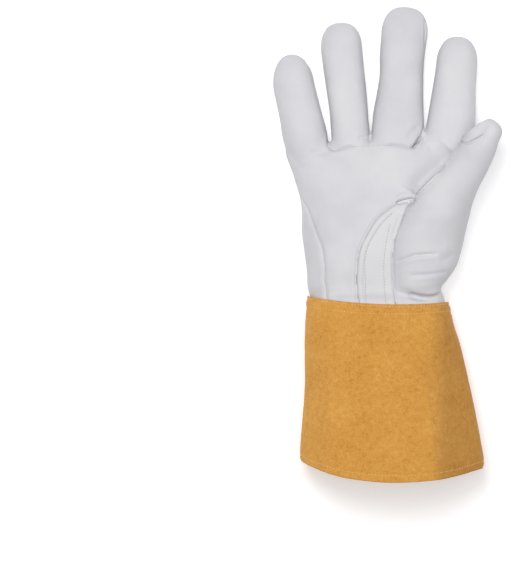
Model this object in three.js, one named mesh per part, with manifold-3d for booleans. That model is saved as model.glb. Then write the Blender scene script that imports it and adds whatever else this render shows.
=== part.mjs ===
// Right-hand TIG welding glove, lying on its back with the palm up: a goatskin hand with five open
// stalls and a flared split-leather cuff. Millimetres, +X to the thumb side, +Y to the fingertips,
// +Z up. The origin is under the middle of the glove, on the surface that it lies on.
import * as THREE from 'three';
import { mergeVertices } from 'three/addons/utils/BufferGeometryUtils.js';
import Module from 'manifold-3d';

const wasm = await Module();
wasm.setup();

// Driving dimensions
const LEATHER = 1.4; // goatskin wall
const SPLIT = 1.9; // split-leather cuff wall
const GAP = 0.3; // between one piece and the next at a seam
const HEM_DEPTH = 9; // turned-in hem of the cuff
const HEM_FOLD = 1.6; // extra wall where the hem is turned in
const HEM_STEP = 0.8; // length over which that wall thickens
const STRIP_ABOVE = 2; // how far the strips between the fingers reach above the side seams
const STRIP_BELOW = 7.5; // and below them
const STRIP_START = 3; // how far from a finger's middle its strip may reach
const STRIP_END = 5; // and at its tip
const CROTCH_Y = 58; // the strips meet between the fingers, past this
const GATHERS = 10; // puckers that the wrist elastic draws across the back
const GATHER_DEPTH = 2.6;
const ELASTIC_Y = -23.6; // where the elastic crosses the back
const ELASTIC_REACH = 13; // how far along the hand its puckers fade out
const CREASE_Y = 60.5; // seam under the two middle fingers
const REACH = 400; // longer than the glove, for cutting shapes

// The hand from the cuff to the roots of the fingers, a row for each section. low and top are heights
// above the surface, and the underside lies flat wherever low would pass below flat.
const HAND = [
  { y: -47.5, left: -48.4, right: 37.4, low: 0, flat: 2.4, top: 42.2 },
  { y: -36.0, left: -48.4, right: 35.9, low: 0, flat: 2.4, top: 41.0 },
  { y: -31.5, left: -49.4, right: 34.8, low: 0, flat: 2.8, top: 37.6 },
  { y: -27.5, left: -50.6, right: 33.4, low: 0, flat: 3.6, top: 36.8 },
  { y: -23.6, left: -51.0, right: 35.0, low: 0, flat: 4.0, top: 37.0 },
  { y: -19.6, left: -51.0, right: 35.8, low: 0, flat: 3.4, top: 37.2 },
  { y: -14.5, left: -51.4, right: 37.2, low: -1.0, flat: 1.4, top: 37.2 },
  { y: -8.0, left: -52.2, right: 39.4, low: -2.0, flat: 0, top: 37.0 },
  { y: 8.0, left: -54.0, right: 43.4, low: -2.0, flat: 0, top: 35.6 },
  { y: 22.0, left: -54.4, right: 47.6, low: -2.0, flat: 0, top: 33.2 },
  { y: 34.0, left: -56.6, right: 50.6, low: -2.0, flat: 0, top: 30.6 },
  { y: 46.0, left: -60.6, right: 53.4, low: -1.8, flat: 0, top: 28.0 },
  { y: 56.0, left: -64.2, right: 54.6, low: -1.4, flat: 0, top: 25.0 },
  { y: 61.0, left: -64.6, right: 54.2, low: 0, flat: 0, top: 22.0 },
  { y: 64.2, left: -63.2, right: 53.0, low: 3.4, flat: 0, top: 18.0 },
];

// The fingers, a row for each section from the root inside the hand to where the rounded tip starts.
const FINGERS = {
  little: {
    tip: { x: -61.9, y: 119.7, square: 2.1 },
    rows: [
      { x: -45.6, y: 44.0, half: 10.6, low: 2.6, top: 21.5 },
      { x: -51.8, y: 66.0, half: 13.7, low: -1.4, top: 23.0 },
      { x: -55.5, y: 83.0, half: 13.2, low: -1.6, top: 21.2 },
      { x: -59.2, y: 99.5, half: 12.9, low: -1.6, top: 20.4 },
    ],
  },
  ring: {
    tip: { x: -29.9, y: 139.9, square: 2.5 },
    rows: [
      { x: -21.4, y: 46.0, half: 12.0, low: 2.6, top: 25.5 },
      { x: -22.8, y: 66.0, half: 12.4, low: -1.4, top: 24.2 },
      { x: -24.5, y: 84.0, half: 11.9, low: -1.6, top: 22.0 },
      { x: -26.8, y: 103.0, half: 12.6, low: -1.6, top: 21.6 },
      { x: -29.0, y: 122.5, half: 12.9, low: -1.6, top: 21.0 },
    ],
  },
  middle: {
    tip: { x: 11.9, y: 149.9, square: 2.5 },
    rows: [
      { x: 5.4, y: 45.0, half: 16.0, low: 2.6, top: 25.8 },
      { x: 5.8, y: 66.0, half: 17.0, low: -1.4, top: 24.6 },
      { x: 6.6, y: 83.0, half: 15.6, low: -1.6, top: 22.6 },
      { x: 8.3, y: 103.0, half: 13.9, low: -1.6, top: 22.2 },
      { x: 8.9, y: 118.0, half: 14.1, low: -1.6, top: 22.4 },
      { x: 10.4, y: 131.5, half: 14.5, low: -1.6, top: 21.8 },
    ],
  },
  index: {
    tip: { x: 44.5, y: 131.0, square: 2.4 },
    rows: [
      { x: 36.6, y: 44.0, half: 12.4, low: 2.6, top: 24.0 },
      { x: 39.4, y: 65.0, half: 15.0, low: -1.4, top: 23.6 },
      { x: 40.6, y: 83.0, half: 14.5, low: -1.6, top: 22.0 },
      { x: 42.4, y: 103.0, half: 13.3, low: -1.6, top: 21.4 },
      { x: 43.4, y: 112.5, half: 13.0, low: -1.6, top: 20.8 },
    ],
  },
};

// The thumb's mound and stall. seam is where its left side meets the hand, outline its right edge.
// The three shallow rows are the folds across its root.
const THUMB_MOUND = [
  { y: -38.0, seam: 8.6, outline: 31.4, low: 12.0, top: 36.0 },
  { y: -32.4, seam: 5.6, outline: 34.4, low: 11.0, top: 37.4 },
  { y: -27.6, seam: 4.2, outline: 33.2, low: 10.0, top: 41.0 },
  { y: -22.8, seam: 3.7, outline: 37.0, low: 10.0, top: 43.4 },
  { y: -18.4, seam: 3.4, outline: 40.0, low: 9.6, top: 41.0 },
  { y: -13.6, seam: 3.3, outline: 43.2, low: 8.4, top: 44.6 },
  { y: -8.0, seam: 3.3, outline: 45.2, low: 7.4, top: 42.8 },
  { y: -1.6, seam: 3.8, outline: 46.8, low: 7.0, top: 45.8 },
  { y: 8.0, seam: 6.0, outline: 48.8, low: 8.0, top: 47.0 },
  { y: 18.0, seam: 10.4, outline: 51.4, low: 10.6, top: 48.0 },
];
const THUMB_STALL = [
  { x: 37.0, y: 29.5, half: 16.8, z: 32.0, thick: 15.2 },
  { x: 45.2, y: 41.1, half: 13.2, z: 36.6, thick: 12.0 },
  { x: 51.9, y: 53.1, half: 12.5, z: 39.2, thick: 11.0 },
  { x: 57.9, y: 65.2, half: 11.9, z: 40.4, thick: 10.6 },
  { x: 62.4, y: 71.8, half: 9.6, z: 40.9, thick: 9.4 },
];
const THUMB_TIP = { x: 65.4, y: 79.2, z: 41.0, square: 2.2 };
const SEAM_SHARE = 0.88; // share of the mound's half width that stands out of the palm

// The cuff, a row for each section from the hand to the hem. Its left and right sides stand at
// different y because the cut is slightly askew, and sag is how far the middle hangs below them.
const CUFF = [
  { yLeft: -32.4, yRight: -36.2, left: -51.9, right: 38.5, top: 43.6, sag: 3.2 },
  { yLeft: -48.0, yRight: -50.0, left: -52.2, right: 41.6, top: 45.4, sag: 4.0 },
  { yLeft: -62.0, yRight: -64.0, left: -52.6, right: 45.4, top: 47.8, sag: 5.6 },
  { yLeft: -86.0, yRight: -88.5, left: -52.6, right: 51.4, top: 51.6, sag: 8.0 },
  { yLeft: -108.0, yRight: -111.0, left: -53.9, right: 56.0, top: 54.6, sag: 10.0 },
  { yLeft: -124.0, yRight: -129.0, left: -55.0, right: 59.4, top: 56.6, sag: 10.6 },
  { yLeft: -136.5, yRight: -140.6, left: -55.6, right: 60.6, top: 57.6, sag: 11.0 },
];
const CUFF_LOW = -2.4;
const SAG_POWER = [2.6, 1.9]; // how broad that sag is on the left and on the right of the middle

// Seam lines of the wedge let in beside the thumb, from the cuff to the thumb's crotch
const CROTCH = [16.7, 28.6];
const WEDGE_LEFT = [
  [-18.9, -60], [-18.9, -37], [-20.2, -18], [-18.3, -3.5], [-12.6, 8.5], [-6.3, 17.4], [2.3, 24.2], CROTCH,
];
const WEDGE_RIGHT = [[5.8, -60], [4.9, -37.2], [2.8, -20], [3.2, -2], [8.4, 17.2], CROTCH];
const THUMB_EDGE = [CROTCH, [34, 24], [80, 22]]; // upper edge of the thumb's root, round its far side

// Lines half way between neighbouring fingers
const LITTLE_RING = [[-37.6, 64], [-39.4, 84], [-43, 103], [-48, 125], [-48, 170]];
const RING_MIDDLE = [[-11.9, 64], [-10.9, 84], [-9.9, 103], [-10.7, 170]];
const MIDDLE_INDEX = [[22.9, 64], [24.2, 84], [25.6, 103], [28, 131], [30, 170]];

// The seam along each side of the hand, as [y, height]. On the little finger's side it climbs over the
// edge of the palm towards the cuff.
const LITTLE_SEAM = [
  [-80, 37], [-47.5, 36], [-36, 34.7], [-31.5, 31.9], [-14, 31], [-1.6, 30], [9, 27], [18.6, 22.5],
  [30, 16], [46, 12.5], [62, 11.4], [170, 10],
];
const THUMB_SEAM = [[-80, 23], [-20, 18], [62, 11.4], [170, 10]];

// Turns an outline drawn in y and z, and extruded, to stand across X
const ALONG_X = new THREE.Matrix4().set(0, 0, 1, 0, 1, 0, 0, 0, 0, 1, 0, 0, 0, 0, 0, 1);

// Sides of each section
const HAND_TOP_SIDES = 16;
const HAND_LOW_SIDES = 30;
const FINGER_SIDES = 14;
const THUMB_SIDES = 18;
const CUFF_SIDES = 40;
const TIP_STEPS = [26, 50, 74]; // degrees round the tip
const ROUND_TOP = 2.4; // how square a section is above, 2 for an ellipse
const ROUND_LOW = 3; // and below

const GOATSKIN = new THREE.MeshStandardMaterial({ color: 0xdcdcdd, roughness: 0.55, metalness: 0 });
const EDGE_SKIN = new THREE.MeshStandardMaterial({ color: 0xd2d4d4, roughness: 0.6, metalness: 0 });
const SUEDE = new THREE.MeshStandardMaterial({ color: 0xcf9745, roughness: 0.95, metalness: 0 });

const join = (solids) => solids.reduce((sum, solid) => sum.add(solid));
const signedPower = (value, power) => Math.sign(value) * Math.abs(value) ** power;

// Angles over half a section, from start on, that put its points nearly evenly across it
function halfAngles(sides, start, round) {
  return Array.from({ length: sides }, (_, i) => {
    const share = i / sides;
    const across = 0.6 * (1 - 2 * share) + 0.4 * Math.cos(Math.PI * share);
    return start + Math.acos(signedPower(across, round / 2));
  });
}

// Angles round a section, counter-clockwise from the right, with top sides above and low sides below
function sectionAngles(topSides, lowSides) {
  return [...halfAngles(topSides, 0, ROUND_TOP), ...halfAngles(lowSides, Math.PI, ROUND_LOW)];
}

// A rounded section standing across a direction in the plane of the surface. It lies flat at floor.
function section({ x, y, z, half, thick, lean = 0 }, angles, floor) {
  return angles.map((angle) => {
    const power = 2 / (angle > Math.PI ? ROUND_LOW : ROUND_TOP);
    const across = signedPower(Math.cos(angle), power) * half;
    const up = signedPower(Math.sin(angle), power) * thick;
    return new THREE.Vector3(
      x + across * Math.cos(lean),
      y + across * Math.sin(lean),
      Math.max(z + up, floor),
    );
  });
}

// A closed solid through rings of points that follow one another towards +Y, with a fan at each end
function loftSolid(rings) {
  const sides = rings[0].length;
  const middleOf = (ring) => ring.reduce((sum, p) => sum.add(p), new THREE.Vector3()).divideScalar(sides);
  const points = [...rings.flat(), middleOf(rings[0]), middleOf(rings.at(-1))];
  const first = points.length - 2;
  const last = points.length - 1;
  const index = [];
  for (let r = 0; r + 1 < rings.length; r++) {
    for (let i = 0; i < sides; i++) {
      const a = r * sides + i;
      const b = r * sides + ((i + 1) % sides);
      index.push(a, b + sides, b, a, a + sides, b + sides);
    }
  }
  for (let i = 0; i < sides; i++) {
    const next = (i + 1) % sides;
    const end = (rings.length - 1) * sides;
    index.push(first, i, next, last, end + next, end + i);
  }
  return solidOf(new THREE.BufferGeometry().setFromPoints(points).setIndex(index));
}

function solidOf(geometry) {
  geometry.deleteAttribute('normal');
  geometry.deleteAttribute('uv');
  const merged = mergeVertices(geometry, 1e-4);
  return new wasm.Manifold(new wasm.Mesh({
    numProp: 3,
    vertProperties: merged.attributes.position.array,
    triVerts: new Uint32Array(merged.index.array),
  }));
}

// An upright prism over an outline in the plane of the surface
function prism(outline, from = -REACH, to = REACH) {
  const shape = new THREE.Shape(outline.map(([x, y]) => new THREE.Vector2(x, y)));
  const geometry = new THREE.ExtrudeGeometry(shape, { depth: to - from, bevelEnabled: false });
  return solidOf(geometry.translate(0, 0, from));
}

// All that lies above, or below, the side seams moved up by shift
function besideSeam(above, shift) {
  const edge = above ? REACH : -REACH;
  const halves = [[LITTLE_SEAM, -REACH], [THUMB_SEAM, 0]].map(([seam, start]) => {
    const line = seam.map(([y, z]) => [y, z + shift]);
    const outline = [...line, [line.at(-1)[0], edge], [line[0][0], edge]];
    const shape = new THREE.Shape(outline.map(([y, z]) => new THREE.Vector2(y, z)));
    const geometry = new THREE.ExtrudeGeometry(shape, { depth: REACH, bevelEnabled: false });
    return solidOf(geometry.applyMatrix4(ALONG_X).translate(start, 0, 0));
  });
  return join(halves);
}

// A smooth line through points, moved sideways by shift to the right of its direction
function seamLine(points, shift) {
  const curve = new THREE.SplineCurve(points.map(([x, y]) => new THREE.Vector2(x, y)));
  const steps = 4 * (points.length - 1);
  return Array.from({ length: steps + 1 }, (_, i) => {
    const p = curve.getPoint(i / steps);
    const t = curve.getTangent(i / steps);
    return [p.x + t.y * shift, p.y - t.x * shift];
  });
}

const HAND_ANGLES = sectionAngles(HAND_TOP_SIDES, HAND_LOW_SIDES);
const FINGER_ANGLES = sectionAngles(FINGER_SIDES / 2, FINGER_SIDES / 2);
const THUMB_ANGLES = sectionAngles(THUMB_SIDES / 2, THUMB_SIDES / 2);
const CUFF_ANGLES = sectionAngles(CUFF_SIDES / 2, CUFF_SIDES / 2);

// Lift of the elastic's puckers at a point under the hand
function gatherLift(row, x, y) {
  const fade = 1 - Math.abs(y - ELASTIC_Y) / ELASTIC_REACH;
  const share = (x - row.left) / (row.right - row.left);
  if (fade <= 0 || share <= 0.06 || share >= 0.94) return 0;
  const pucker = 0.5 - 0.5 * Math.cos(2 * Math.PI * GATHERS * share);
  return GATHER_DEPTH * fade * pucker * Math.sin(Math.PI * share) ** 0.5;
}

// The hand without its fingers, grown outwards by grow, or the hollow in it where grow is negative
function handSolid(grow) {
  const floor = Math.max(0, -grow);
  const rings = HAND.map((row, i) => {
    const end = i === HAND.length - 1 ? grow : 0;
    const open = i === 0 && grow < 0 ? -5 : 0;
    const ring = section({
      x: (row.left + row.right) / 2,
      y: row.y + end + open,
      z: (row.low + row.top) / 2,
      half: (row.right - row.left) / 2 + grow,
      thick: (row.top - row.low) / 2 + grow,
    }, HAND_ANGLES, row.flat + floor);
    ring.forEach((p, k) => {
      if (HAND_ANGLES[k] > Math.PI) p.z += gatherLift(row, p.x, row.y);
    });
    return ring;
  });
  return loftSolid(rings);
}

// The rounded end of a stall: sections that close in from the last full one to the tip
function tipRings(from, tip, lean, angles, grow, floor) {
  const length = Math.hypot(tip.x - from.x, tip.y - from.y) + grow;
  const dx = -Math.sin(lean);
  const dy = Math.cos(lean);
  return TIP_STEPS.map((degrees) => {
    const turn = THREE.MathUtils.degToRad(degrees);
    const along = Math.sin(turn);
    const width = (1 - along ** tip.square) ** (1 / tip.square);
    const droop = (tip.z ?? from.z) - from.z;
    return section({
      x: from.x + dx * length * along,
      y: from.y + dy * length * along,
      z: from.z + droop * along,
      half: (from.half + grow) * width,
      thick: (from.thick + grow) * width,
      lean,
    }, angles, floor);
  });
}

function fingerSolid(finger, grow) {
  const floor = Math.max(0, -grow);
  const root = finger.rows[0];
  const lean = Math.atan2(root.x - finger.tip.x, finger.tip.y - root.y);
  const rows = finger.rows.map((row) => ({
    ...row,
    z: (row.low + row.top) / 2,
    thick: (row.top - row.low) / 2,
  }));
  const rings = rows.map((row) => section(
    { ...row, lean, half: row.half + grow, thick: row.thick + grow }, FINGER_ANGLES, floor,
  ));
  const last = rows.at(-1);
  const tipLean = Math.atan2(last.x - finger.tip.x, finger.tip.y - last.y);
  return loftSolid([...rings, ...tipRings(last, finger.tip, tipLean, FINGER_ANGLES, grow, floor)]);
}

function thumbSolid(grow) {
  const floor = Math.max(0, -grow);
  const mound = THUMB_MOUND.map((row, i) => {
    const half = (row.outline - row.seam) / (1 + SEAM_SHARE);
    const open = i === 0 && grow < 0 ? -5 : 0;
    return section({
      x: row.outline - half,
      y: row.y + open,
      z: (row.low + row.top) / 2,
      half: half + grow,
      thick: (row.top - row.low) / 2 + grow,
    }, THUMB_ANGLES, floor);
  });
  const leans = THUMB_STALL.map((row, i) => {
    const next = THUMB_STALL[i + 1] ?? THUMB_TIP;
    return Math.atan2(row.x - next.x, next.y - row.y);
  });
  const stall = THUMB_STALL.map((row, i) => section(
    { ...row, lean: leans[i] * (i ? 1 : 0.6), half: row.half + grow, thick: row.thick + grow },
    THUMB_ANGLES, floor,
  ));
  const tip = tipRings(THUMB_STALL.at(-1), THUMB_TIP, leans.at(-1), THUMB_ANGLES, grow, floor);
  return loftSolid([...mound, ...stall, ...tip]);
}

function cuffSolid(grow, fold = 0) {
  const floor = Math.max(0, -grow);
  const rows = CUFF.map((row) => ({ ...row, grow }));
  if (fold) {
    const hem = rows.at(-1);
    const before = rows.at(-2);
    const share = HEM_DEPTH / (before.yLeft - hem.yLeft);
    const mix = Object.fromEntries(
      Object.keys(hem).map((key) => [key, hem[key] + (before[key] - hem[key]) * share]),
    );
    const step = { yLeft: mix.yLeft - HEM_STEP, yRight: mix.yRight - HEM_STEP };
    rows.splice(-1, 1, mix, { ...mix, ...step, grow: grow - fold }, { ...hem, grow: grow - fold });
  }
  const rings = rows.map((row, i) => {
    const open = grow < 0 && i === 0 ? 3 : grow < 0 && i === rows.length - 1 ? -3 : 0;
    const half = (row.right - row.left) / 2;
    const ring = section({
      x: (row.left + row.right) / 2,
      y: 0,
      z: (CUFF_LOW + row.top) / 2,
      half: half + row.grow,
      thick: (row.top - CUFF_LOW) / 2 + row.grow,
    }, CUFF_ANGLES, Math.max(floor, -row.grow));
    ring.forEach((p) => {
      const share = (p.x - row.left) / (2 * half);
      const off = Math.min(1, Math.abs(2 * share - 1)) ** SAG_POWER[share > 0.5 ? 1 : 0];
      const side = row.yLeft + (row.yRight - row.yLeft) * share;
      p.y = side - row.sag * (1 - off) + open;
    });
    return ring;
  });
  return loftSolid(rings.reverse());
}

const gloveSolid = (grow) => join([
  handSolid(grow), thumbSolid(grow), ...Object.values(FINGERS).map((finger) => fingerSolid(finger, grow)),
]);
const skin = gloveSolid(0).subtract(gloveSolid(-LEATHER));

const aboveSeam = besideSeam(true, GAP / 2);
const belowSeam = besideSeam(false, -GAP / 2);

// Strips between neighbouring fingers: the walls that face each other, from the crotch to the tips.
// The strips start a little off the middle of each finger's top, and end beside its tip.
function stripZone(leftName, rightName, spare) {
  const edgeOf = ({ rows, tip }, side) => [
    [rows[1].x + side * STRIP_START, CROTCH_Y - spare],
    [rows[1].x + side * STRIP_START, rows[1].y],
    [rows.at(-1).x + side * STRIP_START, rows.at(-1).y],
    [tip.x + side * STRIP_END, REACH],
  ];
  const slab = besideSeam(true, -STRIP_BELOW - spare).subtract(besideSeam(true, STRIP_ABOVE + spare));
  const outline = [...edgeOf(FINGERS[rightName], -1), ...edgeOf(FINGERS[leftName], 1).reverse()];
  return prism(outline).intersect(slab);
}
const strips = [['index', 'middle'], ['middle', 'ring'], ['ring', 'little']].map(([a, b]) => ({
  name: `fourchette_${a}_${b}`,
  zone: stripZone(b, a, 0),
  cleared: stripZone(b, a, GAP),
}));
const stripsCleared = join(strips.map((strip) => strip.cleared));

// Fronts of the two middle fingers, set on along the seam under them
function frontZone(name, spare) {
  const [left, right] = { ring: [LITTLE_RING, RING_MIDDLE], middle: [RING_MIDDLE, MIDDLE_INDEX] }[name];
  const inset = GAP / 2 - spare;
  return prism([
    [left[0][0] + inset, CREASE_Y + inset],
    [right[0][0] - inset, CREASE_Y + inset],
    ...right.map(([x, y]) => [x - inset, y]),
    ...left.map(([x, y]) => [x + inset, y]).reverse(),
  ]);
}
const frontsCleared = frontZone('ring', GAP).add(frontZone('middle', GAP));

// The wedge beside the thumb and the root of the thumb, seen from above
const wedgeOutline = (inset) => [
  ...seamLine(WEDGE_RIGHT, -inset).slice(0, -1), ...seamLine(WEDGE_LEFT, inset).slice(0, -1).reverse(),
];
const thumbOutline = (inset) => [
  ...seamLine(WEDGE_RIGHT, inset).slice(0, -1),
  [CROTCH[0] + inset, CROTCH[1] - inset],
  ...seamLine(THUMB_EDGE, inset).slice(1),
  [80, -60],
];
const farOfRoot = prism([
  [CROTCH[0] - 30, CROTCH[1] - 1],
  ...THUMB_EDGE.map(([x, y]) => [x, y - 1]),
  [80, REACH],
  [CROTCH[0] - 30, REACH],
]);
const stallOnly = thumbSolid(0.4).subtract(handSolid(GAP)).intersect(farOfRoot);
const thumbZone = prism(thumbOutline(GAP / 2)).intersect(aboveSeam).add(stallOnly);
const rootCleared = prism(thumbOutline(-GAP / 2)).intersect(besideSeam(true, -GAP));
const thumbCleared = rootCleared.add(thumbSolid(1).subtract(handSolid(0)).intersect(farOfRoot));

const largest = (solid) => solid.decompose().sort((a, b) => b.volume() - a.volume())[0];

const group = new THREE.Group();

function addPiece(name, solid, material) {
  const { vertProperties, triVerts } = largest(solid).getMesh();
  const geometry = new THREE.BufferGeometry()
    .setAttribute('position', new THREE.BufferAttribute(vertProperties, 3))
    .setIndex(new THREE.BufferAttribute(triVerts, 1));
  const mesh = new THREE.Mesh(geometry, material);
  mesh.name = name;
  group.add(mesh);
}

const palmSide = skin.intersect(aboveSeam).subtract(thumbCleared).subtract(stripsCleared);
addPiece('palm_panel', palmSide.subtract(prism(wedgeOutline(-GAP / 2))).subtract(frontsCleared), GOATSKIN);
addPiece('thumb_gusset', palmSide.intersect(prism(wedgeOutline(GAP / 2))), EDGE_SKIN);
addPiece('ring_finger_front', palmSide.intersect(frontZone('ring', 0)), GOATSKIN);
addPiece('middle_finger_front', palmSide.intersect(frontZone('middle', 0)), GOATSKIN);
addPiece('back_panel', skin.intersect(belowSeam).subtract(stripsCleared), GOATSKIN);
addPiece('thumb_stall', skin.intersect(thumbZone), GOATSKIN);
strips.forEach(({ name, zone }) => addPiece(name, skin.intersect(zone), EDGE_SKIN));
addPiece('gauntlet_cuff', cuffSolid(0).subtract(cuffSolid(-SPLIT, HEM_FOLD)), SUEDE);

// Centre the glove over the origin
const box = new THREE.Box3().setFromObject(group);
const middle = box.getCenter(new THREE.Vector3());
group.children.forEach((mesh) => mesh.position.set(-middle.x, -middle.y, -box.min.z));

export default group;
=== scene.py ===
import math

import bmesh
import bpy
import numpy as np
from mathutils import Matrix, Vector, kdtree, noise
from mathutils.bvhtree import BVHTree


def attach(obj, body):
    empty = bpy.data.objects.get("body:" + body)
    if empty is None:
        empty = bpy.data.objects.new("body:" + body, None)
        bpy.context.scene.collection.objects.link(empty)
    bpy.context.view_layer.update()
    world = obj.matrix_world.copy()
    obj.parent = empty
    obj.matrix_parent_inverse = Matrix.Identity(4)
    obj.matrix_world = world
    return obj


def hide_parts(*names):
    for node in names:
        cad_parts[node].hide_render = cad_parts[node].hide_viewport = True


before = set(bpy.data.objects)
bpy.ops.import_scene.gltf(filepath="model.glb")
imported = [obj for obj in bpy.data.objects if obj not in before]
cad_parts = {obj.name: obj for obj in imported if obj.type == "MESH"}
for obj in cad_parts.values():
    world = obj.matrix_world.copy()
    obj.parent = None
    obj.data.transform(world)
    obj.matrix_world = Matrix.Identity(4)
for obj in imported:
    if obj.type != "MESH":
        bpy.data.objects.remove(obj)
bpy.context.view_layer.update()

mm = 0.001


def linearColour(code):
    parts = [int(code[i:i + 2], 16) / 255 for i in (1, 3, 5)]
    return [c / 12.92 if c <= 0.04045 else ((c + 0.055) / 1.055) ** 2.4 for c in parts] + [1.0]


# Camera straight above the surface, as the photo looks at the glove. The frame's middle is left of the
# glove, as in the photo.
photo = {"wide": 511, "high": 587, "mmPerPixel": 0.63, "middle": (255.5, 293.5), "origin": (388.0, 244.5)}
cameraSet = {"height": 8.0, "focusZ": 0.02, "sensor": 36.0}


def photoPoint(px, py):
    # a pixel of the photo as millimetres on the glove
    return ((px - photo["origin"][0]) * photo["mmPerPixel"], (photo["origin"][1] - py) * photo["mmPerPixel"])


def addObject(name, data):
    made = bpy.data.objects.new(name, data)
    bpy.context.scene.collection.objects.link(made)
    return made


def meshOf(name, bm):
    # a mesh from a bmesh, which is freed
    mesh = bpy.data.meshes.new(name)
    bm.to_mesh(mesh)
    bm.free()
    return mesh


cameraData = bpy.data.cameras.new("camera")
camera = addObject("camera", cameraData)
bpy.context.scene.camera = camera
middleX, middleY = photoPoint(*photo["middle"])
camera.location = (middleX * mm, middleY * mm, cameraSet["height"] + cameraSet["focusZ"])
frameHalf = photo["high"] * photo["mmPerPixel"] * mm / 2
cameraData.sensor_width = cameraSet["sensor"]
cameraData.lens = cameraSet["sensor"] / 2 * cameraSet["height"] / frameHalf
cameraData.clip_end = 20


# Tables in millimetres, the same that the solids are lofted from
hand = {
    "columns": ("y", "left", "right", "low", "flat", "top"),
    "rows": [
        (-47.5, -48.4, 37.4, 0, 2.4, 42.2),
        (-36.0, -48.4, 35.9, 0, 2.4, 41.0),
        (-31.5, -49.4, 34.8, 0, 2.8, 37.6),
        (-27.5, -50.6, 33.4, 0, 3.6, 36.8),
        (-23.6, -51.0, 35.0, 0, 4.0, 37.0),
        (-19.6, -51.0, 35.8, 0, 3.4, 37.2),
        (-14.5, -51.4, 37.2, -1.0, 1.4, 37.2),
        (-8.0, -52.2, 39.4, -2.0, 0, 37.0),
        (8.0, -54.0, 43.4, -2.0, 0, 35.6),
        (22.0, -54.4, 47.6, -2.0, 0, 33.2),
        (34.0, -56.6, 50.6, -2.0, 0, 30.6),
        (46.0, -60.6, 53.4, -1.8, 0, 28.0),
        (56.0, -64.2, 54.6, -1.4, 0, 25.0),
        (61.0, -64.6, 54.2, 0, 0, 22.0),
        (64.2, -63.2, 53.0, 3.4, 0, 18.0),
    ],
}
fingers = {
    "columns": ("x", "y", "half", "low", "top"),
    "little": {"tip": (-61.9, 119.7), "square": 2.1, "roundTop": 2.4, "rows": [
        (-45.6, 44.0, 10.6, 2.6, 21.5),
        (-51.8, 66.0, 13.7, -1.4, 23.0),
        (-55.5, 83.0, 13.2, -1.6, 21.2),
        (-59.2, 99.5, 12.9, -1.6, 20.4),
    ]},
    "ring": {"tip": (-29.9, 139.9), "square": 2.5, "roundTop": 2.9, "rows": [
        (-21.4, 46.0, 12.0, 2.6, 25.5),
        (-23.3, 66.0, 11.9, -1.4, 24.2),
        (-24.5, 84.0, 11.9, -1.6, 22.0),
        (-26.8, 103.0, 12.6, -1.6, 21.6),
        (-29.0, 122.5, 12.9, -1.6, 21.0),
    ]},
    "middle": {"tip": (11.9, 149.9), "square": 2.5, "roundTop": 3.0, "rows": [
        (5.4, 45.0, 16.0, 2.6, 25.8),
        (6.3, 66.0, 16.6, -1.4, 24.6),
        (6.6, 83.0, 15.6, -1.6, 22.6),
        (8.3, 103.0, 13.9, -1.6, 22.2),
        (8.9, 118.0, 14.1, -1.6, 22.4),
        (10.4, 131.5, 14.5, -1.6, 21.8),
    ]},
    "index": {"tip": (44.5, 131.0), "square": 2.4, "roundTop": 2.7, "rows": [
        (36.6, 44.0, 12.4, 2.6, 23.0),
        (38.9, 65.0, 15.5, -1.4, 22.8),
        (40.6, 83.0, 14.5, -1.6, 22.0),
        (42.4, 103.0, 13.3, -1.6, 21.4),
        (43.4, 112.5, 13.0, -1.6, 20.8),
    ]},
}
thumb = {
    "moundColumns": ("y", "seam", "outline", "low", "top"),
    "mound": [
        (-38.0, 8.6, 31.4, 12.0, 36.0),
        (-32.4, 5.6, 34.4, 11.0, 37.4),
        (-27.6, 4.2, 33.2, 10.0, 42.0),
        (-22.8, 3.7, 37.0, 10.0, 43.0),
        (-13.6, 3.3, 43.2, 8.4, 44.2),
        (-1.6, 3.8, 46.8, 7.0, 45.6),
        (8.0, 6.0, 48.8, 8.0, 47.0),
        (18.0, 10.4, 51.4, 10.6, 48.0),
    ],
    "stallColumns": ("x", "y", "half", "z", "thick"),
    "stall": [
        (37.0, 29.5, 16.8, 32.0, 15.2),
        (45.2, 41.1, 13.2, 36.6, 12.0),
        (51.9, 53.1, 12.5, 39.2, 11.0),
        (57.9, 65.2, 11.9, 40.4, 10.6),
        (62.4, 71.8, 9.6, 40.9, 9.4),
    ],
    "tip": (65.6, 78.5, 41.0),
    "square": 2.2,
    "seamShare": 0.88,
}
cuff = {
    "columns": ("yLeft", "yRight", "left", "right", "top", "sag"),
    "rows": [
        (-32.4, -36.2, -50.7, 38.3, 43.6, 3.2),
        (-48.0, -50.0, -52.0, 41.2, 45.4, 4.0),
        (-62.0, -64.0, -52.4, 45.4, 47.8, 5.6),
        (-86.0, -88.5, -52.4, 51.2, 51.6, 8.0),
        (-108.0, -111.0, -53.6, 55.8, 54.6, 9.6),
        (-124.0, -129.0, -54.8, 59.2, 56.6, 10.4),
        (-133.4, -137.2, -55.4, 60.4, 57.4, 10.9),
        (-136.5, -140.8, -54.4, 59.3, 57.6, 11.0),
    ],
    "low": -2.4, "sagPower": (2.6, 1.9), "deep": 117, "wall": 1.9, "hemDeep": 9.0, "hemWall": 1.6,
    "sides": 260, "lengths": 84,
    "shoulder": {"drop": 0.55, "right": (0.74, 0.26), "left": (0.14, 0.14), "leftPart": 0.6,
                 "from": -52, "over": 24},
    "waver": {"high": 0.5, "size": 17, "even": 0.3, "from": -124, "over": 14},
    "swell": ((0.55, 31), (0.22, 10)),
}
leather = {"wall": 1.3, "voxel": 0.9, "smoothing": 5, "sides": 72, "handSides": 160, "step": 1.6,
           "roundTop": 2.4, "roundLow": 3.0}


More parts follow.
